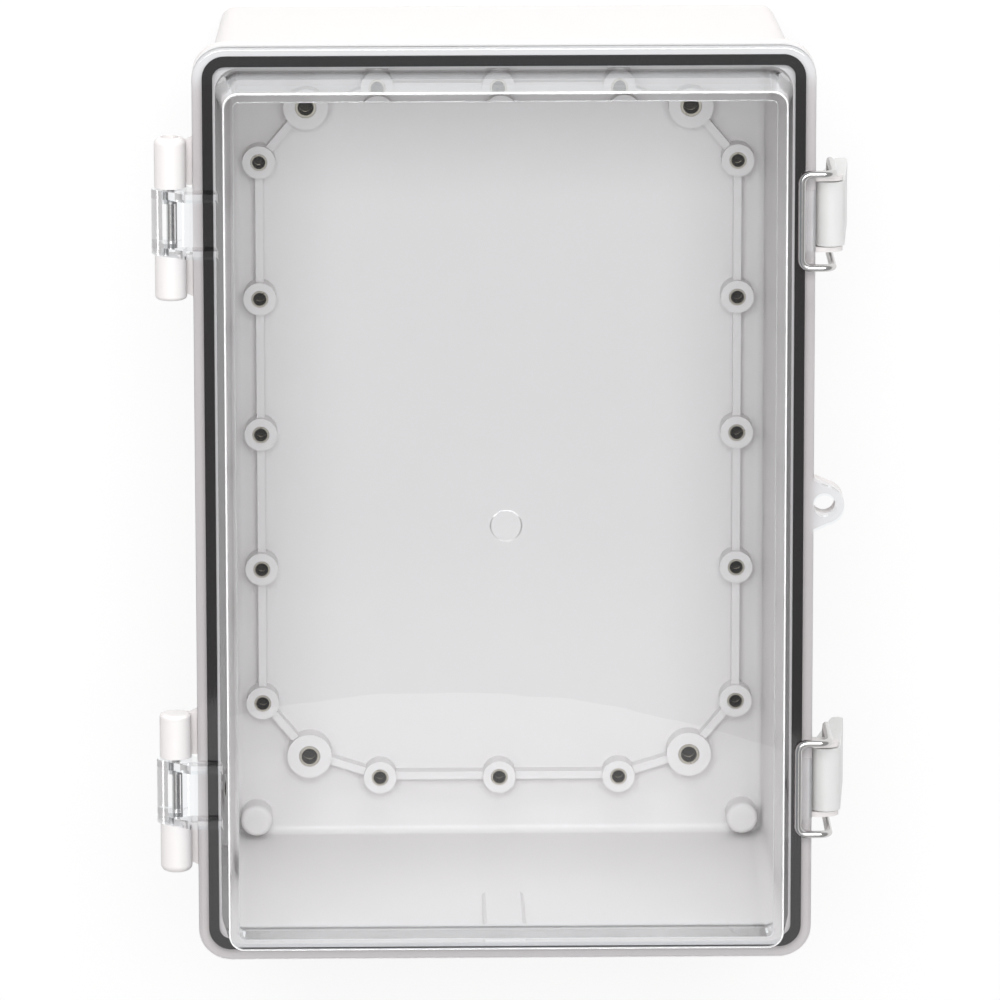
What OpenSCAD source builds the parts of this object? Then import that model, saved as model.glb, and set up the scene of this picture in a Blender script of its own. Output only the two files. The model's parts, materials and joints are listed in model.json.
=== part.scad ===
// Hinged plastic enclosure with a clear lid, lying on its back.
// X runs from the hinges to the latches, Y to the upper end, Z from the back face to the lid's face.

/* [Enclosure] */
// Width over the sealing flanges
flange_w = 190; // [180:0.5:220]
// Height over the sealing flanges
flange_h = 287.5; // [285:0.5:320]
// Depth from the back face to the lid's face
depth = 140; // [125:1:180]
// Outer corner radius of both flanges
corner_r = 10; // [9.5:0.5:14]
// Wall thickness of the base and the lid
wall = 3; // [2.5:0.1:3.4]

/* [Base] */
// Thickness of the floor
floor_t = 3; // [2:0.1:4]
// How much each wall leans in from the rim to the floor
base_draft = 3.5; // [1:0.1:4]
// How far the flange stands out from the wall
rim_overhang = 4; // [3:0.1:4.5]
// Thickness of the base flange
rim_t = 6; // [5:0.1:8]
// Rounding of the edge round the back face
back_r = 1.5; // [0.5:0.1:2]
// Rounding between the floor and the walls
floor_r = 2.5; // [1:0.1:2.5]
// Width of the raised pad inside the lower wall
pad_w = 13; // [8:0.5:20]
// How far the pad stands out at its lower end
pad_proud = 1.4; // [1:0.1:2]
// Length of the pad below the rim
pad_l = 39.5; // [30:0.5:50]

/* [Lid] */
// Height of the raised part above the lid flange
lid_rise = 24; // [18:0.5:30]
// Thickness of the lid flange
lid_flange_t = 4.7; // [4.2:0.1:5]
// How much the raised wall leans in up to the face
lid_draft = 2.6; // [1:0.1:3.5]
// Rounding of the edge round the lid's face
face_r = 0.8; // [0.5:0.1:2.5]
// Rounding of the upper edge of the lid flange
flange_r = 1; // [0.5:0.1:1.2]
// Diameter of the gate mark in the face
gate_d = 10; // [6:0.5:14]
// Depth of the gate mark, which has a bevelled edge
gate_depth = 0.5; // [0.2:0.1:1]

/* [Seal] */
// Width of the gasket
gasket_w = 3.2; // [2.6:0.1:3.4]
// Distance from the flange edge to the gasket
gasket_in = 3.1; // [2.6:0.1:3.4]
// Gap between the two flanges when closed
seal_gap = 0.3; // [0.2:0.05:0.4]

/* [Floor bosses] */
// Distance from the flange edge to a boss column
column_in = 19.2; // [18.8:0.1:22]
// Spacing of the bosses along a column
column_pitch = 44.1; // [40:0.1:44.4]
// Distance from the flange end to a boss row
row_in = 30.75; // [28.75:0.25:31.75]
// Spacing of the bosses along a row
row_pitch = 38.3; // [34:0.1:40]
// Distance from the flange edge to the plate bosses
plate_in_x = 34.1; // [33:0.1:36]
// Distance from the flange end to the plate bosses
plate_in_y = 37.95; // [37.25:0.05:39.75]
// Height of the bosses above the floor
boss_h = 7.5; // [6:0.1:9]
// Diameter of a small boss
small_boss_d = 10.4; // [9:0.1:11]
// Diameter of a plate boss
plate_boss_d = 14.2; // [12:0.1:15]
// Diameter over a small insert
small_insert_d = 5.4; // [5:0.1:6]
// Bore of a small insert
small_bore_d = 3.4; // [3:0.1:3.8]
// Diameter over a plate insert
plate_insert_d = 6.8; // [6.4:0.1:8]
// Bore of a plate insert
plate_bore_d = 4.3; // [4:0.1:5]
// Length of the inserts
insert_l = 6.5; // [5:0.1:7]
// Bevel at the mouth of an insert
mouth = 0.4; // [0.2:0.05:0.5]
// Thickness of the closed end of an insert
insert_end = 0.8; // [0.5:0.1:1.5]
// Width of the ribs between bosses
rib_w = 2.5; // [1.5:0.1:3]
// Height of those ribs
rib_h = 5; // [3:0.1:6]

/* [Rear fixing] */
// Distance from the flange edge to the rear screw bosses
rear_in_x = 17; // [17:0.25:20]
// Distance from the flange end to the rear screw bosses
rear_in_y = 16.85; // [16.75:0.05:19.75]
// Diameter of a rear screw boss inside the box
rear_boss_d = 10.2; // [9:0.1:11]
// Height of a rear screw boss from the back face
rear_boss_h = 12; // [10:0.5:14]
// Rounding of its top edge
rear_boss_r = 1.5; // [0.5:0.1:3]
// Diameter of the blind rear hole
rear_hole_d = 4.2; // [3:0.1:5]
// Depth of the blind rear hole
rear_hole_l = 9; // [6:0.5:9]

/* [Hinges] */
// Distance from the flange end to the middle of a hinge
hinge_in = 54.05; // [48:0.05:60]
// Distance of the pin from the flange edge
hinge_out = 6.8; // [6.6:0.1:7.2]
// Length of the lid knuckle
knuckle_l = 20.2; // [18:0.1:23]
// Diameter of the lid knuckle
knuckle_d = 11.7; // [11:0.1:12.2]
// Length of the window in the knuckle
window_l = 12.3; // [9:0.1:14]
// Width of the window in the knuckle
window_w = 4; // [3.4:0.1:5]
// Width of the ribs that tie the knuckle to the lid
arm_rib_w = 2.6; // [2:0.1:3.4]
// Height of those ribs above the lid flange
arm_rise = 7; // [4:0.5:10]
// Diameter of a base lug
lug_d = 9.8; // [9:0.1:10.2]
// Length of the lug nearer the end of the box
outer_lug_l = 15.5; // [12:0.1:18]
// Length of the lug nearer the middle of the box
inner_lug_l = 14; // [12:0.1:18]
// Diameter of a hinge pin
hinge_pin_d = 2.5; // [2:0.1:3]
// Diameter of the recess at the outer end of a hinge pin
pin_recess_d = 5.6; // [4:0.1:6]
// Depth of that recess
pin_recess = 1.5; // [0.5:0.1:2]

/* [Latches] */
// Distance from the flange end to the middle of a latch
latch_in = 54.25; // [48:0.05:60]
// Distance of the lever pin from the flange edge
lever_out = 5; // [5:0.1:6]
// Depth of the lever pin below the lid flange
lever_drop = 13.5; // [13:0.1:14.5]
// Width of a lever
lever_w = 20; // [16:0.1:20.2]
// Diameter of the round end of a lever
lever_d = 9.2; // [8:0.1:9.4]
// Length of a lever below its pin
lever_l = 36; // [30:0.5:42]
// How far the lever leans out from its pin to its tip
lever_flare = 2.6; // [0:0.1:4]
// Diameter of a lever pin
lever_pin_d = 2.5; // [2:0.1:3]
// Thickness of a latch ear
ear_t = 1.5; // [1.2:0.1:1.6]
// Diameter of a latch ear
ear_d = 8; // [7:0.1:8.4]
// Diameter of the bail wire
wire_d = 2.3; // [2:0.1:2.4]
// Width over the bail
bail_w = 31.4; // [30:0.1:33]
// Bend radius of the hooked corners of the bail
hook_corner_r = 2.8; // [2.4:0.1:4]
// Bend radius where the bail arms turn over the flange
knee_r = 3; // [2:0.1:3]
// Distance of the hooked wire inside the flange edge
hook_in = 4.25; // [4.1:0.05:4.5]
// Offset of the bail pivot outward from the lever pin
pivot_out = 0.4; // [0.2:0.1:0.8]
// Drop of the bail pivot below the lever pin
pivot_drop = 9.5; // [9:0.1:10]
// Length of a catch on the lid
catch_l = 19; // [14:0.5:20]
// Height of a catch above the lid flange
catch_h = 0.8; // [0.5:0.1:0.8]

/* [Padlock eye] */
// Distance of the eye's centre from the flange edge
eye_out = 3.4; // [3.4:0.1:4]
// Hole of the eye
eye_hole_d = 6.8; // [6:0.1:6.8]
// Diameter round the hole
eye_d = 12.2; // [11:0.1:13]
// Width of the eye where it meets the flange
eye_root_w = 17; // [14:0.5:20]

/* [Fits] */
// Running gap between a pin and the part that turns on it
pin_gap = 0.05; // [0.02:0.01:0.1]
// Side gap between parts that pass each other
side_gap = 0.3; // [0.25:0.05:0.35]

/* [Hidden] */
$fn = 64;
eps = 0.01;
skin = 0.1;
root = 1;

// Heights of the flange faces
rim_z = depth - lid_rise - lid_flange_t - seal_gap;
lid_z = rim_z + seal_gap;
top_z = lid_z + lid_flange_t;

// Half sizes of the flange, and how far inside its edge the walls stand
half_w = flange_w / 2;
half_h = flange_h / 2;
wall_in = rim_overhang + wall;

// Corner radii at the flanges: outside and inside of the base, outside of the raised lid
base_corner = corner_r - 2;
inside_corner = corner_r - 3;
lid_corner = corner_r - 2.5;

// Gasket ring, its groove and the tongue on the base that closes on it
groove_h = lid_flange_t / 2;
gasket_z = lid_z + 2 * seal_gap;
tongue_h = 2 * seal_gap;
tongue_w = gasket_w - 6 * seal_gap;

// Floor bosses: the columns, the rows and the plate bosses
boss_z = floor_t + boss_h;
column_w = flange_w - 2 * column_in;
row_h = flange_h - 2 * row_in;
plate_w = flange_w - 2 * plate_in_x;
plate_h = flange_h - 2 * plate_in_y;
column_y = [for (i = [2:-1:-2]) i * column_pitch];
row_x = [for (i = [-1:1]) i * row_pitch];
plate_at = [for (y = [1, -1], x = [-1, 1]) [x * plate_w / 2, y * plate_h / 2]];

// The chain of ribs in one quarter, from the middle of a column to the middle of a row
quarter_chain = [
    [column_w / 2, 0], [column_w / 2, column_pitch], [column_w / 2, 2 * column_pitch],
    [plate_w / 2, plate_h / 2], [row_pitch, row_h / 2], [0, row_h / 2]
];

// Spacing of the rear screw bosses
rear_w = flange_w - 2 * rear_in_x;
rear_h = flange_h - 2 * rear_in_y;

// Height where the pad inside the lower wall starts, and the bevel of its sides
pad_z = rim_z - pad_l;
pad_bevel = 1;

// Hinge axis, start and end roundings of the lugs, flare and drop of their webs, closed length of the bore
pin_lift = 0.7;
hinge_y = half_h - hinge_in;
pin_x = -half_w - hinge_out;
pin_z = lid_z + pin_lift;
lug_in = knuckle_l / 2 + side_gap;
outer_round = 2;
inner_round = 1.2;
web_flare = 1.2;
web_drop = 2;
pin_stop = 3;
window_shift = -0.4;

// Upper outer corner of a knuckle rib, and the angle where its slope leaves the knuckle
arm_x = -half_w - 2;
arm_z = top_z + arm_rise;
arm_run = norm([arm_x - pin_x, arm_z - pin_z]);
arm_angle = atan2(arm_z - pin_z, arm_x - pin_x) + acos(knuckle_d / 2 / arm_run);

// Latch axes: lever pin, bail pivot and hooked wire
latch_y = half_h - latch_in;
lever_x = half_w + lever_out;
lever_z = top_z - lever_drop;
pivot_x = lever_x + pivot_out;
pivot_z = lever_z - pivot_drop;
hook_x = half_w - hook_in;
hook_z = top_z + wire_d / 2 + skin / 2;
wire_y = bail_w / 2 - wire_d / 2;
pivot_r = 2;
pivot_l = 3.5;
pivot_reach = lever_w / 2 - pivot_l;
ear_in = lever_w / 2 + side_gap;
tip_r = 2;
lever_waist = 1.8;

// A flat outline with round corners, set in from the flange edge
module outline(inset, r) {
    w = flange_w - 2 * inset;
    h = flange_h - 2 * inset;
    square([w - 2 * r, h], center = true);
    square([w, h - 2 * r], center = true);
    for (x = [-1, 1], y = [-1, 1])
        translate([x * (w / 2 - r), y * (h / 2 - r)]) circle(r);
}

// Profile from a corner axis out to a side that leans in, with a rounded upper edge
module side_profile(z0, z1, foot_r, top_r, edge_r) {
    flat_r = top_r - edge_r;
    edge_z = z1 - edge_r;
    polygon([[0, z0], [foot_r, z0], [top_r, edge_z], [flat_r, edge_z], [flat_r, z1], [0, z1]]);
    translate([flat_r, edge_z]) intersection() {
        circle(edge_r);
        square(edge_r);
    }
}

// A block with round corners, set in from the flange edge, whose sides lean in to its upper face:
// the profile is turned about four corner axes and pulled along the straight sides between them
module block(z0, z1, inset, foot_r, draft, edge_r) {
    x = half_w - inset - foot_r;
    y = half_h - inset - foot_r;
    translate([-x, -y, z0]) cube([2 * x, 2 * y, z1 - z0]);
    for (flip_x = [0, 1], flip_y = [0, 1]) mirror([flip_x, 0, 0]) mirror([0, flip_y, 0])
        translate([x, y, 0]) rotate_extrude(angle = 90) side_profile(z0, z1, foot_r, foot_r - draft, edge_r);
    for (flip = [0, 1]) {
        mirror([flip, 0, 0]) translate([x, y, 0]) rotate([90, 0, 0])
            linear_extrude(2 * y) side_profile(z0, z1, foot_r, foot_r - draft, edge_r);
        mirror([0, flip, 0]) translate([-x, y, 0]) rotate([90, 0, 90])
            linear_extrude(2 * x) side_profile(z0, z1, foot_r, foot_r - draft, edge_r);
    }
}

// A ring between two outlines
module ring(z0, z1, inset, width, r) {
    translate([0, 0, z0]) linear_extrude(z1 - z0) difference() {
        outline(inset, r);
        outline(inset + width, r - width);
    }
}

// A cylinder along Y, centred on a point of the XZ plane
module rod_y(x, z, d, y0, y1) {
    translate([x, y1, z]) rotate([90, 0, 0]) cylinder(d = d, h = y1 - y0);
}

// A profile drawn in X and Z, pulled along Y about a middle
module pull_y(y, width) {
    translate([0, y + width / 2, 0]) rotate([90, 0, 0]) linear_extrude(width) children();
}

// A post from the floor of its frame, with a rounded top edge
module round_post(d, h, edge_r) {
    rotate_extrude() {
        square([d / 2 - edge_r, h]);
        square([d / 2, h - edge_r]);
        translate([d / 2 - edge_r, h - edge_r]) intersection() {
            circle(edge_r);
            square(edge_r);
        }
    }
}

// Base: outside and inside of the leaning walls, each a block turned over
module base_outside() {
    mirror([0, 0, 1]) block(rim_t / 2 - rim_z, 0, rim_overhang, base_corner, base_draft, back_r);
    translate([0, 0, rim_z - rim_t]) linear_extrude(rim_t) outline(0, corner_r);
}

module base_inside() {
    mirror([0, 0, 1]) block(-rim_z - root, -floor_t, wall_in, inside_corner, base_draft, floor_r);
}

// One floor boss without its hole
module boss(at, d) {
    translate([at[0], at[1], floor_t - eps]) cylinder(d = d, h = boss_h + eps);
}

// One rib of the chain
module rib(a, b) {
    run = b - a;
    translate([a[0], a[1], floor_t - eps]) rotate([0, 0, atan2(run[1], run[0])])
        translate([0, -rib_w / 2, 0]) cube([norm(run), rib_w, rib_h + eps]);
}

module floor_bosses() {
    for (x = [-1, 1], y = column_y) boss([x * column_w / 2, y], small_boss_d);
    for (x = row_x, y = [-1, 1]) boss([x, y * row_h / 2], small_boss_d);
    for (at = plate_at) boss(at, plate_boss_d);
    for (sx = [-1, 1], sy = [-1, 1], i = [0:len(quarter_chain) - 2])
        rib([sx * quarter_chain[i][0], sy * quarter_chain[i][1]],
            [sx * quarter_chain[i + 1][0], sy * quarter_chain[i + 1][1]]);
}

// Holes that the inserts sit in
module insert_seats() {
    for (x = [-1, 1], y = column_y) seat([x * column_w / 2, y], small_insert_d);
    for (x = row_x, y = [-1, 1]) seat([x, y * row_h / 2], small_insert_d);
    for (at = plate_at) seat(at, plate_insert_d);
}

module seat(at, d) {
    translate([at[0], at[1], boss_z - insert_l]) cylinder(d = d, h = insert_l + 1);
}

// Rear screw bosses, closed and rounded inside the box, and their blind holes
module rear_bosses() {
    for (x = [-1, 1], y = [-1, 1]) translate([x * rear_w / 2, y * rear_h / 2, floor_t - eps])
        round_post(rear_boss_d, rear_boss_h - floor_t + eps, rear_boss_r);
}

module rear_holes() {
    for (x = [-1, 1], y = [-1, 1]) translate([x * rear_w / 2, y * rear_h / 2, -1])
        cylinder(d = rear_hole_d, h = rear_hole_l + 1);
}

// Raised pad on the lower wall, from mid depth to just under the rim, with bevelled sides
module wall_pad() {
    foot_y = -half_h + wall_in - wall / 2;
    face_y = -half_h + wall_in + base_draft * (rim_z - pad_z) / rim_z + pad_proud;
    translate([0, 0, pad_z]) linear_extrude(rim_z - 1 - pad_z) polygon([
        [-pad_w / 2, foot_y], [pad_w / 2, foot_y], [pad_w / 2, face_y - pad_bevel],
        [pad_w / 2 - pad_bevel, face_y], [pad_bevel - pad_w / 2, face_y], [-pad_w / 2, face_y - pad_bevel]
    ]);
}

// One base lug: round bar on the pin axis with a rounded end, and a flared web to the flange
module hinge_lug(y, side, l, r) {
    web_l = l - r;
    web_t = rim_t - web_drop;
    translate([pin_x, y + side * lug_in, pin_z]) rotate([-90 * side, 0, 0]) round_post(lug_d, l, r);
    translate([0, y + side * lug_in, rim_z - rim_t]) scale([1, side, 1]) linear_extrude(web_t) polygon([
        [pin_x, 0], [-half_w + root, 0], [-half_w + root, web_l + web_flare], [-half_w, web_l + web_flare],
        [-half_w - 2 * web_flare, web_l], [pin_x, web_l]
    ]);
}

module hinge_lugs(end) {
    hinge_lug(end * hinge_y, end, outer_lug_l, outer_round);
    hinge_lug(end * hinge_y, -end, inner_lug_l, inner_round);
}

// A rod on a hinge axis, from a distance inside the middle of the hinge to a distance outside it
module hinge_rod(end, d, inside, outside) {
    y = end * hinge_y;
    rod_y(pin_x, pin_z, d, min(y - end * inside, y + end * outside), max(y - end * inside, y + end * outside));
}

// Bore for the pin, open and counterbored at the outer end, blind at the inner end
module hinge_bore(end) {
    outside = lug_in + outer_lug_l;
    hinge_rod(end, hinge_pin_d, lug_in + inner_lug_l - pin_stop, outside + 1);
    hinge_rod(end, pin_recess_d, pin_recess - outside, outside + 1);
}

// Ears that carry a lever: round end on the pin axis, web back into the flange and wall
module latch_ears(y) {
    for (side = [-1, 1]) pull_y(y + side * (ear_in + ear_t / 2), ear_t) {
        translate([lever_x, lever_z]) circle(d = ear_d);
        translate([half_w - rim_overhang - root, lever_z - ear_d / 2])
            square([lever_out + rim_overhang + root, ear_d]);
        translate([half_w - rim_overhang - root, lever_z])
            square([rim_overhang + root, rim_z - rim_t / 2 - lever_z]);
    }
}

// Padlock eye on either flange
module eye_outline() {
    difference() {
        union() {
            translate([half_w + eye_out, 0]) circle(d = eye_d);
            polygon([
                [half_w - root, -eye_root_w / 2], [half_w + eye_out + root, skin - eye_d / 2],
                [half_w + eye_out + root, eye_d / 2 - skin], [half_w - root, eye_root_w / 2]
            ]);
        }
        translate([half_w + eye_out, 0]) circle(d = eye_hole_d);
    }
}

module base_shell() {
    color([0.82, 0.81, 0.80]) difference() {
        union() {
            difference() {
                base_outside();
                base_inside();
            }
            ring(rim_z - eps, rim_z + tongue_h, gasket_in + (gasket_w - tongue_w) / 2, tongue_w,
                corner_r - gasket_in - (gasket_w - tongue_w) / 2);
            floor_bosses();
            rear_bosses();
            wall_pad();
            for (end = [-1, 1]) {
                hinge_lugs(end);
                latch_ears(end * latch_y);
            }
            translate([0, 0, rim_z - rim_t]) linear_extrude(rim_t) eye_outline();
        }
        insert_seats();
        rear_holes();
        for (end = [-1, 1]) {
            hinge_bore(end);
            rod_y(lever_x, lever_z, lever_pin_d, end * latch_y - lever_w, end * latch_y + lever_w);
        }
    }
}

// Threaded insert, closed below, with a bevelled mouth flush with its boss
module insert(at, d, bore_d) {
    color([0.72, 0.68, 0.58]) translate([at[0], at[1], boss_z - insert_l]) difference() {
        cylinder(d = d, h = insert_l);
        translate([0, 0, insert_end]) cylinder(d = bore_d, h = insert_l);
        translate([0, 0, insert_l - mouth])
            cylinder(d1 = bore_d, d2 = bore_d + 2 * mouth, h = mouth + eps);
    }
}

module column_insert(side, i) {
    insert([side * column_w / 2, column_y[i - 1]], small_insert_d, small_bore_d);
}

module row_insert(side, i) {
    insert([row_x[i - 1], side * row_h / 2], small_insert_d, small_bore_d);
}

module plate_insert(i) {
    insert(plate_at[i], plate_insert_d, plate_bore_d);
}

// Steel pins
module hinge_pin(end) {
    color([0.75, 0.75, 0.76])
        hinge_rod(end, hinge_pin_d, lug_in + inner_lug_l - pin_stop, lug_in + outer_lug_l - pin_recess);
}

module lever_pin(y) {
    color([0.75, 0.75, 0.76]) rod_y(lever_x, lever_z, lever_pin_d, y - ear_in - ear_t, y + ear_in + ear_t);
}

// Lid: flange with a rounded upper edge, then the raised dish outside and inside
module flange_plate() {
    block(lid_z, top_z, 0, corner_r, 0, flange_r);
}

module dish_outside() {
    block(top_z - root, depth, wall_in, lid_corner, lid_draft, face_r);
}

module dish_inside() {
    block(lid_z - root, depth - wall, wall_in + wall, lid_corner - wall, lid_draft, face_r / 2);
}

// Clear knuckle with its window, and the two ribs that tie it to the raised wall
module knuckle(y) {
    arm_start = knuckle_d / 2 - skin;
    arm_end = -half_w + wall_in + wall / 2;
    difference() {
        union() {
            rod_y(pin_x, pin_z, knuckle_d, y - knuckle_l / 2, y + knuckle_l / 2);
            translate([pin_x, y - knuckle_l / 2, lid_z]) cube([hinge_out + root, knuckle_l, lid_flange_t]);
            for (side = [-1, 1]) pull_y(y + side * (knuckle_l - arm_rib_w) / 2, arm_rib_w) polygon([
                [pin_x, lid_z], [pin_x + arm_start * cos(arm_angle), pin_z + arm_start * sin(arm_angle)],
                [arm_x, arm_z], [arm_end, arm_z], [arm_end, lid_z]
            ]);
        }
        rod_y(pin_x, pin_z, hinge_pin_d + 2 * pin_gap, y - knuckle_l, y + knuckle_l);
        translate([pin_x - window_w / 2 + window_shift, y - window_l / 2, pin_z - knuckle_d])
            cube([window_w, window_l, 2 * knuckle_d]);
    }
}

// Ramped catch that the bail hooks behind
module catch_bar(y) {
    foot_x = hook_x + wire_d / 2 - side_gap;
    crest_x = half_w - catch_h;
    pull_y(y, catch_l) polygon([
        [foot_x, top_z - eps], [crest_x, top_z + catch_h],
        [half_w, top_z + catch_h / 2], [half_w, top_z - eps]
    ]);
}

module clear_lid() {
    color([0.88, 0.92, 0.95, 0.35]) difference() {
        union() {
            flange_plate();
            dish_outside();
            for (y = [-1, 1]) {
                knuckle(y * hinge_y);
                catch_bar(y * latch_y);
            }
            translate([0, 0, lid_z]) linear_extrude(lid_flange_t) eye_outline();
        }
        dish_inside();
        ring(lid_z - 1, lid_z + groove_h, gasket_in, gasket_w, corner_r - gasket_in);
        translate([0, 0, depth - gate_depth])
            cylinder(d1 = gate_d - 2 * gate_depth, d2 = gate_d + 2 * root, h = gate_depth + root);
    }
}

module lid_gasket() {
    color([0.20, 0.19, 0.20])
        ring(gasket_z, lid_z + groove_h, gasket_in, gasket_w, corner_r - gasket_in);
}

// Lever: round end on its pin, straight outer face, tapering to a rounded finger tip
module lever_body(y) {
    face_x = lever_x + lever_d / 2;
    tip_x = face_x + lever_flare;
    tip_z = lever_z - lever_l + tip_r;
    rod_y(lever_x, lever_z, lever_d, y - lever_w / 2, y + lever_w / 2);
    rod_y(tip_x - tip_r, tip_z, 2 * tip_r, y - lever_w / 2, y + lever_w / 2);
    pull_y(y, lever_w) polygon([
        [face_x, lever_z], [tip_x, tip_z], [tip_x - 2 * tip_r, tip_z],
        [lever_x - lever_d / 2 + lever_waist, lever_z - lever_d], [lever_x - lever_d / 2 + skin, lever_z]
    ]);
}

module lever(y) {
    color([0.90, 0.90, 0.90]) difference() {
        union() lever_body(y);
        rod_y(lever_x, lever_z, lever_pin_d + 2 * pin_gap, y - lever_w, y + lever_w);
        for (side = [-1, 1]) rod_y(pivot_x, pivot_z, wire_d + 2 * pin_gap,
            min(side * lever_w, side * (pivot_reach - side_gap)) + y,
            max(side * lever_w, side * (pivot_reach - side_gap)) + y);
    }
}

// A quarter turn of wire in the XY plane, starting at an angle
module wire_bend(r, start) {
    rotate([0, 0, start]) rotate_extrude(angle = 90) translate([r, 0]) circle(d = wire_d);
}

// One side of the bail: pivot end, arm, knee and hooked corner, up to the middle of the wire
module bail_side() {
    translate([pivot_x, 0, 0]) {
        rod_y(0, pivot_z, wire_d, pivot_reach, wire_y - pivot_r);
        translate([0, wire_y - pivot_r, pivot_z + pivot_r]) rotate([90, 0, 90])
            wire_bend(pivot_r, -90);
        translate([0, wire_y, pivot_z + pivot_r])
            cylinder(d = wire_d, h = hook_z - pivot_z - pivot_r - knee_r);
        translate([-knee_r, wire_y, hook_z - knee_r]) rotate([90, 0, 0]) wire_bend(knee_r, 0);
    }
    translate([hook_x + hook_corner_r, wire_y, hook_z]) rotate([0, 90, 0])
        cylinder(d = wire_d, h = pivot_x - knee_r - hook_x - hook_corner_r);
    translate([hook_x + hook_corner_r, wire_y - hook_corner_r, hook_z])
        wire_bend(hook_corner_r, 90);
    rod_y(hook_x, hook_z, wire_d, 0, wire_y - hook_corner_r);
}

module bail(y) {
    color([0.80, 0.80, 0.81]) translate([0, y, 0]) {
        bail_side();
        mirror([0, 1, 0]) bail_side();
    }
}

base_shell();
column_insert(-1, 1);  // left_insert_1
column_insert(-1, 2);  // left_insert_2
column_insert(-1, 3);  // left_insert_3
column_insert(-1, 4);  // left_insert_4
column_insert(-1, 5);  // left_insert_5
column_insert(1, 1);  // right_insert_1
column_insert(1, 2);  // right_insert_2
column_insert(1, 3);  // right_insert_3
column_insert(1, 4);  // right_insert_4
column_insert(1, 5);  // right_insert_5
row_insert(1, 1);  // top_insert_1
row_insert(1, 2);  // top_insert_2
row_insert(1, 3);  // top_insert_3
row_insert(-1, 1);  // bottom_insert_1
row_insert(-1, 2);  // bottom_insert_2
row_insert(-1, 3);  // bottom_insert_3
plate_insert(0);  // upper_left_plate_insert
plate_insert(1);  // upper_right_plate_insert
plate_insert(2);  // lower_left_plate_insert
plate_insert(3);  // lower_right_plate_insert
hinge_pin(1);  // upper_hinge_pin
hinge_pin(-1);  // lower_hinge_pin
lever_pin(latch_y);  // upper_lever_pin
lever_pin(-latch_y);  // lower_lever_pin
clear_lid();
lid_gasket();
lever(latch_y);  // upper_lever
lever(-latch_y);  // lower_lever
bail(latch_y);  // upper_bail
bail(-latch_y);  // lower_bail
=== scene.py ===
"""Looks of a grey plastic enclosure with a hinged clear lid, lying on its back on a pale studio floor."""

import json
import math

import bmesh
import bpy
from bpy.props import FloatProperty, FloatVectorProperty, IntProperty, PointerProperty
from mathutils import Matrix, Vector


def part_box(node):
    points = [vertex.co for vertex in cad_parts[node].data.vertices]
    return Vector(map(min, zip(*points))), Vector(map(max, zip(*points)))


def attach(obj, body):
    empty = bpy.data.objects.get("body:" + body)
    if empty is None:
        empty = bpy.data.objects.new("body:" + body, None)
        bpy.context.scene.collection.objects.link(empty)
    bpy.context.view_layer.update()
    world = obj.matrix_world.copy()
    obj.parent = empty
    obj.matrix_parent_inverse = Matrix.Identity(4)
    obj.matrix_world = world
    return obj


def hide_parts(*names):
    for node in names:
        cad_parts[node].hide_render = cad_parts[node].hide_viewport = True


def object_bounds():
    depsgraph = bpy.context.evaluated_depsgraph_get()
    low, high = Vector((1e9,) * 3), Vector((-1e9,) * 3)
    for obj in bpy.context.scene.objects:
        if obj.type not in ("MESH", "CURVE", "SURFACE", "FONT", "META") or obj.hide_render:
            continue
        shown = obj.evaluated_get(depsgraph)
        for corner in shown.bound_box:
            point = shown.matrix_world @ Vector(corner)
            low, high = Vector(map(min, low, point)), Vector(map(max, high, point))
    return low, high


bl_info = {
    "name": "Hinged enclosure looks",
    "version": (1, 0, 0),
    "blender": (4, 5, 0),
    "location": "View3D > Sidebar > Enclosure",
    "description": "Finishes, threaded inserts and studio for a hinged plastic enclosure",
    "category": "Object",
}

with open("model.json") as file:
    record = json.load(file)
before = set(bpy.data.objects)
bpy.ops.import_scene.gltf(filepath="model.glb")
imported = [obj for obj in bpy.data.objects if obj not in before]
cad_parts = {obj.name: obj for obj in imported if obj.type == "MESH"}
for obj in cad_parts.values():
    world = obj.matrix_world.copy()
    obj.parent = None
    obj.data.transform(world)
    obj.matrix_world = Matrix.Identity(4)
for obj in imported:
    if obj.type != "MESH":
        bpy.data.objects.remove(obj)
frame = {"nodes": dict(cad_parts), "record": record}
NODES = frame["nodes"]
CAD_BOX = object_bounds()
BACK_Z = CAD_BOX[0][2]
FACE_Z = CAD_BOX[1][2]
MM = 0.001


def srgb(hex_code):
    """Linear red, green and blue of an sRGB hex colour."""
    parts = [int(hex_code[i : i + 2], 16) / 255 for i in (0, 2, 4)]
    return tuple(c / 12.92 if c <= 0.04045 else ((c + 0.055) / 1.055) ** 2.4 for c in parts)


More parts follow.
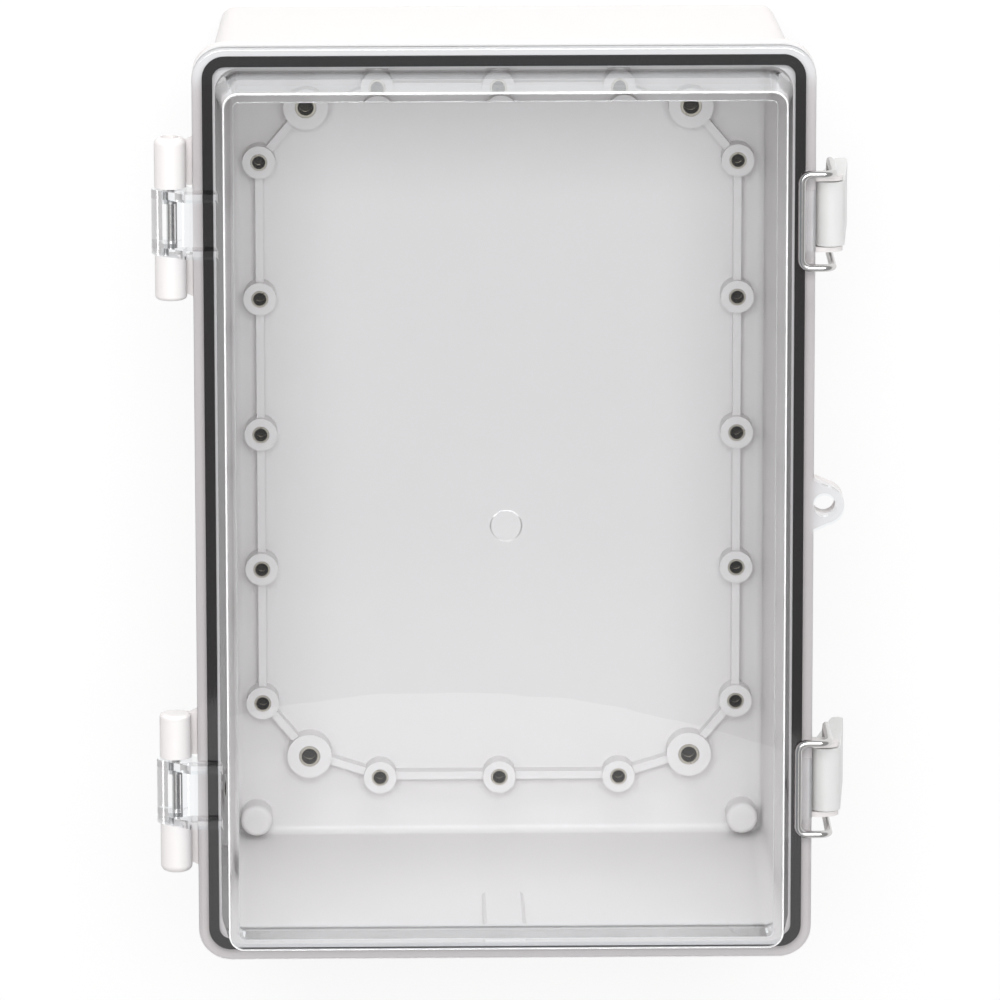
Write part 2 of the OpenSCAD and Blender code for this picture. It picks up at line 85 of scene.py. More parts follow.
class EnclosureColours(bpy.types.PropertyGroup):
    """Colours of the finishes"""

    shell: FloatVectorProperty(
        name="Shell", description="Moulded grey of the base",
        subtype="COLOR", default=srgb("DDDAD9"),
    )
    lever: FloatVectorProperty(
        name="Levers", description="Moulded grey of the latch levers",
        subtype="COLOR", default=srgb("D2D3D2"),
    )
    lid: FloatVectorProperty(
        name="Lid", description="Tint of what is seen through the clear lid",
        subtype="COLOR", default=srgb("FAFCFD"),
    )
    let_through: FloatVectorProperty(
        name="Let through", description="Light of lamps and bounces that the lid lets through",
        subtype="COLOR", default=srgb("F9FAFB"),
    )
    # Painted shade: this darker light is let through only under the flange's upper face, so the rim below
    # is shaded.
    shade: FloatVectorProperty(
        name="Shade", description="The same where the lid's flange shades the rim",
        subtype="COLOR", default=srgb("D3CDCD"),
    )
    seal: FloatVectorProperty(
        name="Seal", description="Black of the foamed seal",
        subtype="COLOR", default=srgb("1B1718"),
    )
    steel: FloatVectorProperty(
        name="Steel", description="Wire bails and pins",
        subtype="COLOR", default=srgb("D4D3D2"),
    )
    insert: FloatVectorProperty(
        name="Inserts", description="Plated brass of the threaded inserts",
        subtype="COLOR", default=srgb("B9B5AC"),
    )
    # Painted shade: the thread is darker than the insert for the shade inside the bore.
    thread: FloatVectorProperty(
        name="Threads", description="Thread of the inserts, darker as painted shade of the bore",
        subtype="COLOR", default=srgb("57524B"),
    )
    # Painted shade: the bore end is near black for the shade at the bottom of the bore.
    shaded_bore_end: FloatVectorProperty(
        name="Bore ends", description="End of the blind bores, near black as painted shade",
        subtype="COLOR", default=srgb("1A1816"),
    )
    floor: FloatVectorProperty(
        name="Floor", description="Studio floor, as it lights the part",
        subtype="COLOR", default=srgb("C6C6C6"),
    )


class EnclosureLid(bpy.types.PropertyGroup):
    """Sizes and gloss of the clear lid's finish"""

    index: FloatProperty(
        name="Index", description="Refractive index of polycarbonate", default=1.585
    )
    wave: FloatProperty(
        name="Wave", description="Width of the faint waves in its gloss",
        subtype="DISTANCE", default=12 * MM,
    )
    polished_from: FloatProperty(
        name="Polished from", description="Height above which the tool was polished, just over the flange",
        subtype="DISTANCE", default=116.2 * MM,
    )
    flange_roughness: FloatProperty(
        name="Flange roughness", description="Roughness below that height",
        subtype="FACTOR", default=0.03,
    )
    gate_d: FloatProperty(
        name="Gate mark", description="Diameter of the gate mark with its bevel",
        subtype="DISTANCE", default=10.6 * MM,
    )
    gate_roughness: FloatProperty(
        name="Gate roughness", description="Roughness of the gate mark",
        subtype="FACTOR", default=0.22,
    )
    edge_h: FloatProperty(
        name="Edge", description="Height of the rounded edge of the face",
        subtype="DISTANCE", default=3 * MM,
    )
    # Painted highlight: below 1 the edge turns milky and shows as a pale line where a reflection would be.
    highlight_edge_clarity: FloatProperty(
        name="Edge clarity", description="How clear that edge is; less than 1 shows as a pale line",
        subtype="FACTOR", default=0.4,
    )
    flange_half_w: FloatProperty(
        name="Half flange", description="Half the width of the flange",
        subtype="DISTANCE", default=95.1 * MM,
    )
    lit_from: FloatProperty(
        name="Lit from", description="Distance up the flange at which its shade on the rim starts to fade",
        subtype="DISTANCE", default=131 * MM,
    )
    lit_fade: FloatProperty(
        name="Lit fade", description="Distance over which that shade fades",
        subtype="DISTANCE", default=6 * MM,
    )


class EnclosureThreads(bpy.types.PropertyGroup):
    """Sizes of the threaded inserts"""

    small_pitch: FloatProperty(
        name="Small pitch", description="Thread pitch of the small inserts",
        subtype="DISTANCE", default=0.7 * MM,
    )
    plate_pitch: FloatProperty(
        name="Plate pitch", description="Thread pitch of the plate inserts",
        subtype="DISTANCE", default=0.8 * MM,
    )
    depth: FloatProperty(
        name="Depth", description="Depth of the thread as a share of its pitch",
        subtype="FACTOR", default=0.43,
    )
    end: FloatProperty(
        name="Closed end", description="Thickness of the closed end of an insert",
        subtype="DISTANCE", default=0.8 * MM,
    )
    mouth: FloatProperty(
        name="Mouth", description="Bevel at the mouth of the bore",
        subtype="DISTANCE", default=0.4 * MM,
    )
    rim: FloatProperty(
        name="Rim", description="Bevel of the outer edge",
        subtype="DISTANCE", default=0.15 * MM,
    )
    segments: IntProperty(name="Segments", description="Steps round an insert", default=40, min=16)
    steps: IntProperty(name="Steps", description="Steps along one pitch", default=6, min=4)


class EnclosureStage(bpy.types.PropertyGroup):
    """Camera and lights"""

    tilt: FloatProperty(
        name="Tilt", description="Lean of the view from the lid's normal to the upper end",
        subtype="ANGLE", default=math.radians(13.032),
    )
    swing: FloatProperty(
        name="Swing", description="Turn of the view about the long side, to the hinges when below zero",
        subtype="ANGLE", default=math.radians(-0.969),
    )
    roll: FloatProperty(
        name="Roll", description="Roll of the camera",
        subtype="ANGLE", default=math.radians(0.074),
    )
    distance: FloatProperty(
        name="Distance", description="From the camera to the point that it looks at",
        subtype="DISTANCE", default=2.753,
    )
    aim: FloatVectorProperty(
        name="Aim", description="Point that the camera looks at",
        subtype="TRANSLATION", default=(-1.437 * MM, 2.527 * MM, 116 * MM),
    )
    lens: FloatProperty(name="Lens", description="Focal length in millimetres", default=322.8)
    ambient: FloatProperty(name="Ambient", description="Light from all round", default=0.57)
    strips: FloatProperty(
        name="Strips", description="Strength of the low strips that gleam in the lid's edges", default=10.0
    )
    key: FloatProperty(
        name="Key", description="Power of the overhead softbox", subtype="POWER", default=42.0
    )
    top: FloatProperty(
        name="Top", description="Power of the light at the upper end", subtype="POWER", default=26.5
    )
    card: FloatProperty(
        name="Card", description="Power of the soft card that shows in the lid",
        subtype="POWER", default=2.0,
    )


def per_mm(size):
    """Texture scale whose features are about this many millimetres across."""
    return 1 / (size * MM)


def rgba(colour, share=1.0):
    """A colour with alpha for a node, at a share of its strength."""
    return (*(c * share for c in colour), 1)


def add_node(tree, kind, inputs=None, **settings):
    """A node with its settings, and its inputs set to values or linked to other nodes' outputs."""
    node = tree.nodes.new(kind)
    for name, value in settings.items():
        setattr(node, name, value)
    for name, value in (inputs or {}).items():
        if isinstance(value, bpy.types.NodeSocket):
            tree.links.new(value, node.inputs[name])
        else:
            node.inputs[name].default_value = value
    return node


def seen_rays(tree):
    """1 for rays from the camera, from mirrors and through clear plastic, else 0."""
    ray = add_node(tree, "ShaderNodeLightPath").outputs
    seen = ray["Is Camera Ray"]
    for kind in ("Is Glossy Ray", "Is Transmission Ray"):
        either = add_node(tree, "ShaderNodeMath", {0: seen, 1: ray[kind]}, operation="MAXIMUM")
        seen = either.outputs["Value"]
    return seen


def blank_material(name):
    """An empty node material, and the tree to fill."""
    material = bpy.data.materials.new(name)
    material.use_nodes = True
    material.node_tree.nodes.clear()
    return material, material.node_tree


def dress(names, material):
    """Gives CAD nodes a finish."""
    for name in names:
        mesh = NODES[name].data
        mesh.materials.clear()
        mesh.materials.append(material)


def moulded_plastic(name, colour, roughness):
    # ABS moulded in a spark-eroded tool: even colour, a satin skin, and a pebble that softens highlights.
    # The real pebble is about 0.15 mm, drawn at 0.6 mm so that it shows.
    spread = 0.06
    material, tree = blank_material(name)
    place = add_node(tree, "ShaderNodeTexCoord").outputs["Object"]
    flow = add_node(tree, "ShaderNodeTexNoise", {"Vector": place, "Scale": per_mm(70), "Detail": 3.0})
    pebble = add_node(tree, "ShaderNodeTexNoise", {"Vector": place, "Scale": per_mm(0.6), "Detail": 2.0})
    tone = add_node(
        tree, "ShaderNodeMix",
        {"Factor": flow.outputs["Fac"], "A": rgba(colour, share=0.965), "B": rgba(colour)},
        data_type="RGBA",
    )
    skin = add_node(
        tree, "ShaderNodeMapRange",
        {"Value": pebble.outputs["Fac"], "To Min": roughness - spread, "To Max": roughness + spread},
    )
    grain = add_node(
        tree, "ShaderNodeBump",
        {"Height": pebble.outputs["Fac"], "Strength": 0.12, "Distance": 0.05 * MM},
    )
    plastic = add_node(
        tree, "ShaderNodeBsdfPrincipled",
        {
            "Base Color": tone.outputs["Result"],
            "Roughness": skin.outputs["Result"],
            "Normal": grain.outputs["Normal"],
            "IOR": 1.53,
        },
    )
    add_node(tree, "ShaderNodeOutputMaterial", {"Surface": plastic.outputs["BSDF"]})
    return material


def lid_roughness(tree, height, from_gate, lid):
    """Roughness of the lid: polished, but for the flange and the gate mark."""
    flange_fade = 0.1 * MM
    gate_fade = 0.2 * MM
    flange = add_node(
        tree, "ShaderNodeMapRange",
        {
            "Value": height,
            "From Min": lid.polished_from - flange_fade,
            "From Max": lid.polished_from,
            "To Min": lid.flange_roughness,
            "To Max": 0.0,
        },
    )
    gate = add_node(
        tree, "ShaderNodeMapRange",
        {
            "Value": from_gate,
            "From Min": lid.gate_d / 2,
            "From Max": lid.gate_d / 2 + gate_fade,
            "To Min": lid.gate_roughness,
            "To Max": 0.0,
        },
    )
    rougher = add_node(
        tree, "ShaderNodeMath",
        {0: flange.outputs["Result"], 1: gate.outputs["Result"]},
        operation="MAXIMUM",
    )
    return rougher.outputs["Value"]


def lid_clarity_with_painted_highlight(tree, normal, height, from_gate, lid):
    """Clarity of the lid: full, but for the outside of the rounded edge of its face, made milky there as a
    painted highlight.
    """
    lean, lean_spread = 0.66, 0.28  # upright part of the normal on that edge, and how far it may differ
    facing = add_node(tree, "ShaderNodeSeparateXYZ", {"Vector": normal})
    leaning = add_node(
        tree, "ShaderNodeMath",
        {0: facing.outputs["Z"], 1: lean, 2: lean_spread},
        operation="COMPARE",
    )
    high = add_node(tree, "ShaderNodeMath", {0: height, 1: FACE_Z - lid.edge_h}, operation="GREATER_THAN")
    away = add_node(tree, "ShaderNodeMath", {0: from_gate, 1: lid.gate_d}, operation="GREATER_THAN")
    inside = add_node(tree, "ShaderNodeNewGeometry").outputs["Backfacing"]
    outside = add_node(tree, "ShaderNodeMath", {0: 1.0, 1: inside}, operation="SUBTRACT")
    edge = outside
    for test in (leaning, high, away):
        edge = add_node(
            tree, "ShaderNodeMath",
            {0: edge.outputs["Value"], 1: test.outputs["Value"]},
            operation="MULTIPLY",
        )
    clarity = add_node(
        tree, "ShaderNodeMapRange",
        {"Value": edge.outputs["Value"], "To Min": 1.0, "To Max": lid.highlight_edge_clarity},
    )
    return clarity.outputs["Result"]


def lid_shade(tree, spot, lid, colours):
    """Light that the lid lets through: less at the flange's upper face, a painted shade on the rim below,
    but for its upper end.
    """
    below, above = 2.2 * MM, 0.1 * MM  # reach of that face from the height where the polish starts
    over = add_node(
        tree, "ShaderNodeMath", {0: spot["Z"], 1: lid.polished_from - below}, operation="GREATER_THAN"
    )
    under = add_node(
        tree, "ShaderNodeMath", {0: spot["Z"], 1: lid.polished_from + above}, operation="LESS_THAN"
    )
    aside = add_node(tree, "ShaderNodeMath", {0: spot["X"]}, operation="ABSOLUTE")
    within = add_node(
        tree, "ShaderNodeMath", {0: aside.outputs["Value"], 1: lid.flange_half_w}, operation="LESS_THAN"
    )
    unlit = add_node(
        tree, "ShaderNodeMapRange",
        {
            "Value": spot["Y"],
            "From Min": lid.lit_from,
            "From Max": lid.lit_from + lid.lit_fade,
            "To Min": 1.0,
            "To Max": 0.0,
        },
    )
    shaded = unlit.outputs["Result"]
    for test in (over, under, within):
        both = add_node(tree, "ShaderNodeMath", {0: shaded, 1: test.outputs["Value"]}, operation="MULTIPLY")
        shaded = both.outputs["Value"]
    passed = add_node(
        tree, "ShaderNodeMix",
        {"Factor": shaded, "A": rgba(colours.let_through), "B": rgba(colours.shade)},
        data_type="RGBA",
    )
    return passed.outputs["Result"]


def clear_polycarbonate(name, colours, lid):
    # Polycarbonate moulded in a tool polished above the flange: clear, with a faint wave in its gloss.
    # Lamps and light that has bounced pass straight through, so the inside is lit as under a thin sheet.
    # Light that a wall would trap leaves it unbent, as the soft inner corners of a moulding let it out.
    # The flange's upper face lets less lamp light through, a painted shade on the rim below, except near
    # the upper end, which is left lit.
    # The outside of the rounded edge of the face is made partly milky, a painted highlight that shows as a
    # pale line, and the gate mark is dull.
    trapped_from = 0.98
    material, tree = blank_material(name)
    coordinates = add_node(tree, "ShaderNodeTexCoord").outputs
    place = coordinates["Object"]
    spot = add_node(tree, "ShaderNodeSeparateXYZ", {"Vector": place}).outputs
    from_gate = add_node(
        tree, "ShaderNodeVectorMath", {0: place, 1: (0, 0, FACE_Z)}, operation="DISTANCE"
    ).outputs["Value"]
    wave = add_node(tree, "ShaderNodeTexNoise", {"Vector": place, "Scale": 1 / lid.wave, "Detail": 1.0})
    skin = add_node(
        tree, "ShaderNodeBump",
        {"Height": wave.outputs["Fac"], "Strength": 0.05, "Distance": 0.05 * MM},
    )
    trapped = add_node(tree, "ShaderNodeFresnel", {"IOR": lid.index})
    bend = add_node(
        tree, "ShaderNodeMapRange",
        {
            "Value": trapped.outputs["Fac"],
            "From Min": trapped_from,
            "From Max": 1.0,
            "To Min": lid.index,
            "To Max": 1.0,
        },
    )
    solid = add_node(
        tree, "ShaderNodeBsdfPrincipled",
        {
            "Base Color": rgba(colours.lid),
            "Roughness": lid_roughness(tree, spot["Z"], from_gate, lid),
            "Normal": skin.outputs["Normal"],
            "IOR": bend.outputs["Result"],
            "Transmission Weight": lid_clarity_with_painted_highlight(tree, coordinates["Normal"], spot["Z"], from_gate, lid),
        },
    )
    open_way = add_node(tree, "ShaderNodeBsdfTransparent", {"Color": lid_shade(tree, spot, lid, colours)})
    ray = add_node(tree, "ShaderNodeLightPath")
    bounced = add_node(
        tree, "ShaderNodeMixShader",
        {0: ray.outputs["Is Reflection Ray"], 1: solid.outputs["BSDF"], 2: open_way.outputs["BSDF"]},
    )
    lamps = add_node(
        tree, "ShaderNodeMixShader",
        {0: ray.outputs["Is Shadow Ray"], 1: bounced.outputs["Shader"], 2: open_way.outputs["BSDF"]},
    )
    add_node(tree, "ShaderNodeOutputMaterial", {"Surface": lamps.outputs["Shader"]})
    return material


def foamed_seal(name, colour):
    # Polyurethane foamed in place: black, matt, with a closed skin over cells of about 0.5 mm.
    material, tree = blank_material(name)
    place = add_node(tree, "ShaderNodeTexCoord").outputs["Object"]
    cells = add_node(tree, "ShaderNodeTexVoronoi", {"Vector": place, "Scale": per_mm(0.5)})
    tone = add_node(
        tree, "ShaderNodeMix",
        {"Factor": cells.outputs["Distance"], "A": rgba(colour, share=0.75), "B": rgba(colour)},
        data_type="RGBA",
    )
    skin = add_node(
        tree, "ShaderNodeBump",
        {"Height": cells.outputs["Distance"], "Strength": 0.3, "Distance": 0.1 * MM},
    )
    foam = add_node(
        tree, "ShaderNodeBsdfPrincipled",
        {
            "Base Color": tone.outputs["Result"],
            "Roughness": 0.75,
            "Normal": skin.outputs["Normal"],
            "IOR": 1.5,
        },
    )
    add_node(tree, "ShaderNodeOutputMaterial", {"Surface": foam.outputs["BSDF"]})
    return material


def bright_steel(name, colour, roughness, stretch):
    # Stainless steel, drawn or ground: bright, with fine lines along the way that it was drawn.
    # The real lines are a few hundredths of a millimetre, drawn at 0.15 mm so that they show.
    spread = 0.07
    material, tree = blank_material(name)
    place = add_node(tree, "ShaderNodeTexCoord").outputs["Object"]
    pulled = add_node(tree, "ShaderNodeVectorMath", {0: place, 1: stretch}, operation="MULTIPLY")
    lines = add_node(
        tree, "ShaderNodeTexNoise",
        {"Vector": pulled.outputs["Vector"], "Scale": per_mm(0.15), "Detail": 2.0},
    )
    gloss = add_node(
        tree, "ShaderNodeMapRange",
        {"Value": lines.outputs["Fac"], "To Min": roughness - spread, "To Max": roughness + spread},
    )
    scores = add_node(
        tree, "ShaderNodeBump",
        {"Height": lines.outputs["Fac"], "Strength": 0.1, "Distance": 0.02 * MM},
    )
    metal = add_node(
        tree, "ShaderNodeBsdfPrincipled",
        {
            "Base Color": rgba(colour),
            "Metallic": 1.0,
            "Roughness": gloss.outputs["Result"],
            "Normal": scores.outputs["Normal"],
        },
    )
    add_node(tree, "ShaderNodeOutputMaterial", {"Surface": metal.outputs["BSDF"]})
    return material


def plated_brass(name, colour, roughness):
    # Brass turned on a lathe and plated: pale warm metal, with patches of thinner plating about 3 mm wide.
    # The threads and bore ends are darker by the colours that they are given, a painted shade of the deep
    # bore.
    spread = 0.08
    green_left, blue_left = 0.96, 0.88  # shares that the brass leaves where the plating is thin
    material, tree = blank_material(name)
    place = add_node(tree, "ShaderNodeTexCoord").outputs["Object"]
    patch = add_node(tree, "ShaderNodeTexNoise", {"Vector": place, "Scale": per_mm(3), "Detail": 3.0})
    brassy = (colour[0], colour[1] * green_left, colour[2] * blue_left)
    tone = add_node(
        tree, "ShaderNodeMix",
        {"Factor": patch.outputs["Fac"], "A": rgba(brassy), "B": rgba(colour)},
        data_type="RGBA",
    )
    gloss = add_node(
        tree, "ShaderNodeMapRange",
        {"Value": patch.outputs["Fac"], "To Min": roughness - spread, "To Max": roughness + spread},
    )
    metal = add_node(
        tree, "ShaderNodeBsdfPrincipled",
        {"Base Color": tone.outputs["Result"], "Metallic": 1.0, "Roughness": gloss.outputs["Result"]},
    )
    add_node(tree, "ShaderNodeOutputMaterial", {"Surface": metal.outputs["BSDF"]})
    return material


def painted_board(name, colour):
    # Matt painted board, grey enough that its bounce leaves the outer walls unclipped.
    # Seen by the camera, in mirrors and through clear plastic it is white, and keeps the shadow.
    white_share = 0.75
    material, tree = blank_material(name)
    place = add_node(tree, "ShaderNodeTexCoord").outputs["Object"]
    paint = add_node(tree, "ShaderNodeTexNoise", {"Vector": place, "Scale": per_mm(300), "Detail": 2.0})
    tone = add_node(
        tree, "ShaderNodeMix",
        {"Factor": paint.outputs["Fac"], "A": rgba(colour, share=0.98), "B": rgba(colour)},
        data_type="RGBA",
    )
    board = add_node(tree, "ShaderNodeBsdfDiffuse", {"Color": tone.outputs["Result"]})
    white = add_node(tree, "ShaderNodeEmission", {"Strength": 1.1})
    share = add_node(tree, "ShaderNodeMath", {0: seen_rays(tree), 1: white_share}, operation="MULTIPLY")
    surface = add_node(
        tree, "ShaderNodeMixShader",
        {0: share.outputs["Value"], 1: board.outputs["BSDF"], 2: white.outputs["Emission"]},
    )
    add_node(tree, "ShaderNodeOutputMaterial", {"Surface": surface.outputs["Shader"]})
    return material


def bore_radii():
    """Bore radius of the small inserts and of the plate inserts, from the record's mounts."""
    dims = {mount["name"]: mount["dims"] for mount in frame["record"]["mounts"]}
    return dims["row_outer_inserts"]["hole_r_mm"] * MM, dims["plate_inserts"]["hole_r_mm"] * MM


def threaded_insert(name, node, minor_r, pitch, threads, finishes):
    """A turned insert with a blind threaded bore, in the place of its plain CAD node."""
    root_flat = 1.3  # steepens the flanks, so that the root of the thread is flat
    crease = math.radians(32)
    thread_finish, end_finish = 1, 2
    low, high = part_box(node)
    centre = (low + high) / 2
    outer_r = (high.x - low.x) / 2
    count = threads.segments
    rises = [low.z + threads.end]
    while rises[-1] + pitch / threads.steps < high.z:
        rises.append(rises[-1] + pitch / threads.steps)
    rises.append(high.z)

    def bore_r(z, turn):
        phase = ((z - low.z) / pitch - turn) % 1
        flank = 1 - abs(2 * phase - 1)
        thread_r = minor_r + threads.depth * pitch * min(1, flank * root_flat)
        ends = z in (rises[0], high.z)
        return max(minor_r if ends else thread_r, minor_r + threads.mouth - (high.z - z))

    shape = bmesh.new()

    def ring(z, radius_at):
        corners = []
        for i in range(count):
            turn = i / count
            angle = math.tau * turn
            r = radius_at(z, turn)
            corner = (centre.x + r * math.cos(angle), centre.y + r * math.sin(angle), z)
            corners.append(shape.verts.new(corner))
        return corners

    rings = [ring(z, bore_r) for z in rises]
    rings.append(ring(high.z, lambda z, turn: outer_r - threads.rim))
    rings.append(ring(high.z - threads.rim, lambda z, turn: outer_r))
    rings.append(ring(low.z, lambda z, turn: outer_r))
    shape.faces.new(rings[0]).material_index = end_finish
    shape.faces.new(rings[-1])
    for k, (lower, upper) in enumerate(zip(rings, rings[1:])):
        for i in range(count):
            after = (i + 1) % count
            face = shape.faces.new((lower[i], lower[after], upper[after], upper[i]))
            if k < len(rises) - 1:
                face.material_index = thread_finish
    bmesh.ops.recalc_face_normals(shape, faces=shape.faces)
    mesh = bpy.data.meshes.new(name)
    shape.to_mesh(mesh)
    shape.free()
    mesh.shade_smooth()
    mesh.set_sharp_from_angle(angle=crease)
    for finish in finishes:
        mesh.materials.append(finish)
    piece = bpy.data.objects.new(name, mesh)
    bpy.context.scene.collection.objects.link(piece)
    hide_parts(node)
    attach(piece, "base")


class ENCLOSURE_OT_mould_base(bpy.types.Operator):
    """Gives the base its moulded grey skin"""

    bl_idname = "enclosure.mould_base"
    bl_label = "Mould the base"

    def execute(self, context):
        colours = context.scene.enclosure_colours
        dress(["base_shell"], moulded_plastic("Moulded ABS, light grey", colours.shell, roughness=0.42))
        return {"FINISHED"}


class ENCLOSURE_OT_clear_lid(bpy.types.Operator):
    """Makes the lid clear and its seal black"""

    bl_idname = "enclosure.clear_lid"
    bl_label = "Clear the lid"

    def execute(self, context):
        colours = context.scene.enclosure_colours
        lid = context.scene.enclosure_lid
        dress(["clear_lid"], clear_polycarbonate("Clear polycarbonate", colours, lid))
        dress(["lid_gasket"], foamed_seal("Foamed polyurethane, black", colours.seal))
        return {"FINISHED"}


class ENCLOSURE_OT_latches(bpy.types.Operator):
    """Finishes the levers, the wire bails and all the pins"""

    bl_idname = "enclosure.latches"
    bl_label = "Finish the latches and pins"

    def execute(self, context):
        colours = context.scene.enclosure_colours
        ends = ("upper", "lower")
        lever = moulded_plastic("Moulded ABS, lever grey", colours.lever, roughness=0.3)
        wire = bright_steel("Drawn stainless wire", colours.steel, roughness=0.2, stretch=(1.0, 0.15, 0.15))
        pin = bright_steel("Ground steel pin", colours.steel, roughness=0.28, stretch=(1.0, 0.05, 1.0))
        dress([f"{end}_lever" for end in ends], lever)
        dress([f"{end}_bail" for end in ends], wire)
        dress([f"{end}_{kind}_pin" for end in ends for kind in ("hinge", "lever")], pin)
        return {"FINISHED"}


class ENCLOSURE_OT_inserts(bpy.types.Operator):
    """Turns and threads the inserts in the floor bosses"""

    bl_idname = "enclosure.inserts"
    bl_label = "Thread the inserts"

    def execute(self, context):
        threads = context.scene.enclosure_threads
        colours = context.scene.enclosure_colours
        finishes = (
            plated_brass("Plated brass, turned", colours.insert, roughness=0.3),
            # The thread and bore end colours are painted shade of the deep bore.
            plated_brass("Plated brass, thread in painted shade", colours.thread, roughness=0.3),
            plated_brass("Plated brass, bore end in painted shade", colours.shaded_bore_end, roughness=0.4),
        )
        small_bore, plate_bore = bore_radii()
        for node in sorted(name for name in NODES if "insert" in name):
            large = "plate" in node
            threaded_insert(
                node.replace("insert", "threaded_insert"), node,
                plate_bore if large else small_bore,
                threads.plate_pitch if large else threads.small_pitch,
                threads, finishes,
            )
        return {"FINISHED"}


def softbox(name, place, aim, size, power, shape="RECTANGLE"):
    """An area lamp that faces a point."""
    lamp = bpy.data.lights.new(name, "AREA")
    lamp.shape = shape
    lamp.size, lamp.size_y = size
    lamp.energy = power
    holder = bpy.data.objects.new(name, lamp)
    holder.location = place
    holder.rotation_euler = (Vector(aim) - Vector(place)).to_track_quat("-Z", "Y").to_euler()
    bpy.context.scene.collection.objects.link(holder)
    return holder


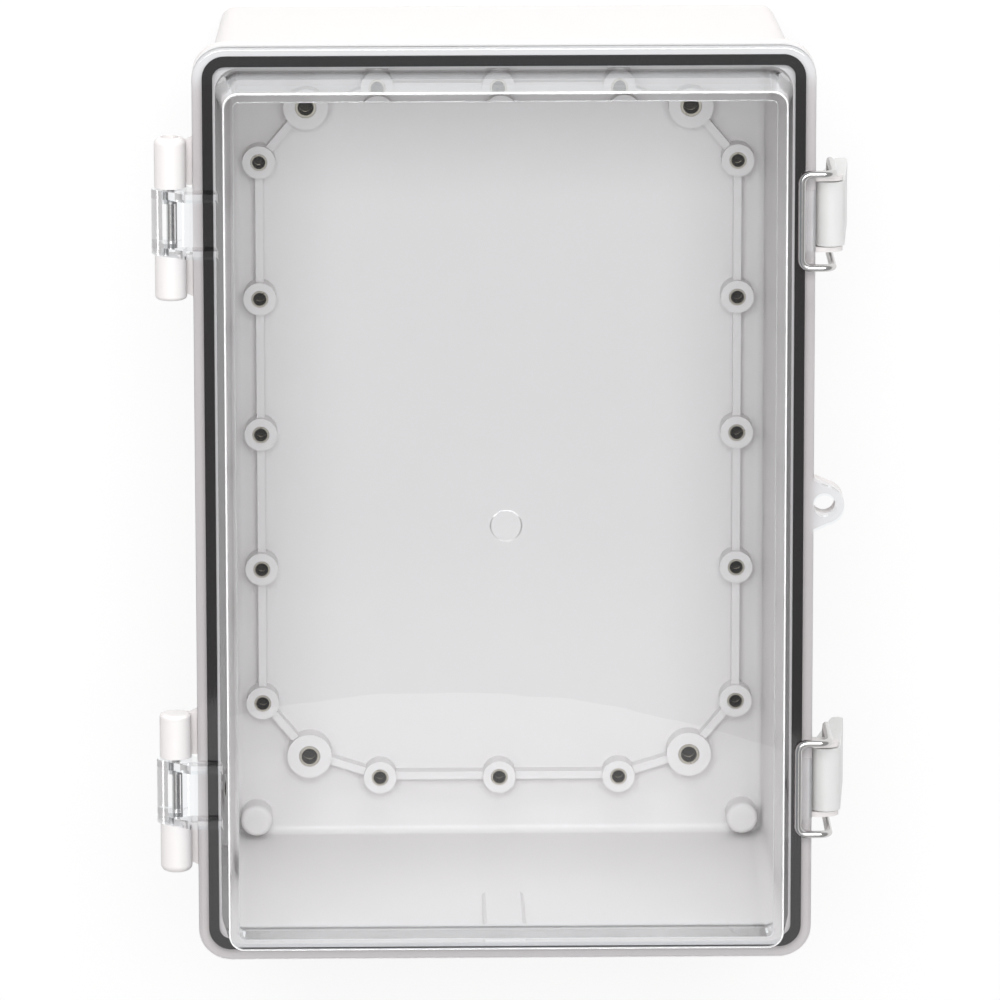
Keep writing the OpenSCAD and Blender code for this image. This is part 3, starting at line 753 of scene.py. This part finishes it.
class ENCLOSURE_OT_stage(bpy.types.Operator):
    """Sets up the floor, the lights and the camera"""

    bl_idname = "enclosure.stage"
    bl_label = "Set the stage"

    def execute(self, context):
        stage = context.scene.enclosure_stage
        self.lay_floor(context)
        self.surround(context, stage)
        self.hang_lamps(stage)
        self.place_camera(context, stage)
        context.scene.view_settings.view_transform = "Standard"
        return {"FINISHED"}

    def lay_floor(self, context):
        half = 4.0
        gap = 0.2 * MM
        mesh = bpy.data.meshes.new("studio_floor")
        corners = [(-half, -half, 0), (half, -half, 0), (half, half, 0), (-half, half, 0)]
        mesh.from_pydata(corners, [], [(0, 1, 2, 3)])
        mesh.materials.append(painted_board("Painted board, grey", context.scene.enclosure_colours.floor))
        floor = bpy.data.objects.new("studio_floor", mesh)
        floor.location.z = BACK_Z - gap
        context.scene.collection.objects.link(floor)

    def surround(self, context, stage):
        # Heights are the upright part of a view direction: 0 at the horizon and 1 overhead.
        white_to, grey_from, grey = 0.05, 0.3, 0.35
        strip_to, strip_end = 0.2, 0.22
        tint = (1.0, 0.985, 0.99)
        world = bpy.data.worlds.new("Studio")
        world.use_nodes = True
        tree = world.node_tree
        tree.nodes.clear()
        way = add_node(tree, "ShaderNodeTexCoord").outputs["Generated"]
        rise = add_node(tree, "ShaderNodeSeparateXYZ", {"Vector": way}).outputs["Z"]
        backdrop = add_node(
            tree, "ShaderNodeMapRange",
            {"Value": rise, "From Min": white_to, "From Max": grey_from, "To Min": 1.0, "To Max": grey},
        )
        strips = add_node(
            tree, "ShaderNodeMapRange",
            {
                "Value": rise,
                "From Min": strip_to,
                "From Max": strip_end,
                "To Min": stage.strips,
                "To Max": 0.0,
            },
        )
        # Only sharp mirror rays meet the strips, so that they gleam in the lid and light nothing else.
        ray = add_node(tree, "ShaderNodeLightPath")
        sharp = add_node(
            tree, "ShaderNodeMath",
            {0: ray.outputs["Is Singular Ray"], 1: ray.outputs["Is Reflection Ray"]},
            operation="MULTIPLY",
        )
        mirrored = add_node(
            tree, "ShaderNodeMath",
            {0: sharp.outputs["Value"], 1: strips.outputs["Result"], 2: backdrop.outputs["Result"]},
            operation="MULTIPLY_ADD",
        )
        room = add_node(tree, "ShaderNodeBackground", {"Color": rgba(tint), "Strength": stage.ambient})
        white = add_node(
            tree, "ShaderNodeBackground", {"Color": (1, 1, 1, 1), "Strength": mirrored.outputs["Value"]}
        )
        surface = add_node(
            tree, "ShaderNodeMixShader",
            {0: seen_rays(tree), 1: room.outputs["Background"], 2: white.outputs["Background"]},
        )
        add_node(tree, "ShaderNodeOutputWorld", {"Surface": surface.outputs["Shader"]})
        context.scene.world = world

    def hang_lamps(self, stage):
        middle = (0, 0, 70 * MM)
        softbox("Overhead softbox", place=(-0.03, 0.7, 2.3), aim=middle, size=(1.6, 1.2), power=stage.key)
        end = softbox("Upper end light", place=(0, 1.85, 0.8), aim=middle, size=(2.2, 0.7), power=stage.top)
        end.visible_glossy = False  # else the flat face mirrors it and hides the inside from low views
        softbox(
            "Soft card", place=(0, -1.01, 2.0), aim=(0, -1.01, 0), size=(0.97, 0.97), power=stage.card,
            shape="DISK",
        )

    def place_camera(self, context, stage):
        back = Vector((
            math.sin(stage.swing) * math.cos(stage.tilt),
            math.sin(stage.tilt),
            math.cos(stage.swing) * math.cos(stage.tilt),
        )).normalized()
        right = Vector((0, 1, 0)).cross(back).normalized()
        up = back.cross(right)
        turned = Matrix.Rotation(-stage.roll, 3, back)
        right, up = turned @ right, turned @ up
        lens = bpy.data.cameras.new("Camera")
        lens.lens = stage.lens
        lens.sensor_width = 36
        lens.clip_end = 20
        camera = bpy.data.objects.new("Camera", lens)
        axes = Matrix((right, up, back)).transposed().to_4x4()
        camera.matrix_world = Matrix.Translation(Vector(stage.aim) + back * stage.distance) @ axes
        context.scene.collection.objects.link(camera)
        context.scene.camera = camera


class ENCLOSURE_PT_looks(bpy.types.Panel):
    """Lists the steps and the sizes and colours that they use"""

    bl_idname = "ENCLOSURE_PT_looks"
    bl_label = "Enclosure"
    bl_space_type = "VIEW_3D"
    bl_region_type = "UI"
    bl_category = "Enclosure"

    def draw(self, context):
        for step in STEPS:
            self.layout.operator(step.bl_idname)
        for pointer, group in GROUPS.items():
            box = self.layout.box()
            for name in group.__annotations__:
                box.prop(getattr(context.scene, pointer), name)


GROUPS = {
    "enclosure_colours": EnclosureColours,
    "enclosure_lid": EnclosureLid,
    "enclosure_threads": EnclosureThreads,
    "enclosure_stage": EnclosureStage,
}
STEPS = (
    ENCLOSURE_OT_mould_base,
    ENCLOSURE_OT_clear_lid,
    ENCLOSURE_OT_latches,
    ENCLOSURE_OT_inserts,
    ENCLOSURE_OT_stage,
)
CLASSES = (*GROUPS.values(), *STEPS, ENCLOSURE_PT_looks)


def register():
    for cls in CLASSES:
        bpy.utils.register_class(cls)
    for pointer, group in GROUPS.items():
        setattr(bpy.types.Scene, pointer, PointerProperty(type=group))


def unregister():
    for pointer in reversed(GROUPS):
        delattr(bpy.types.Scene, pointer)
    for cls in reversed(CLASSES):
        bpy.utils.unregister_class(cls)


def main():
    register()
    bpy.ops.enclosure.mould_base()
    bpy.ops.enclosure.clear_lid()
    bpy.ops.enclosure.latches()
    bpy.ops.enclosure.inserts()
    bpy.ops.enclosure.stage()


if __name__ == "__main__":
    main()
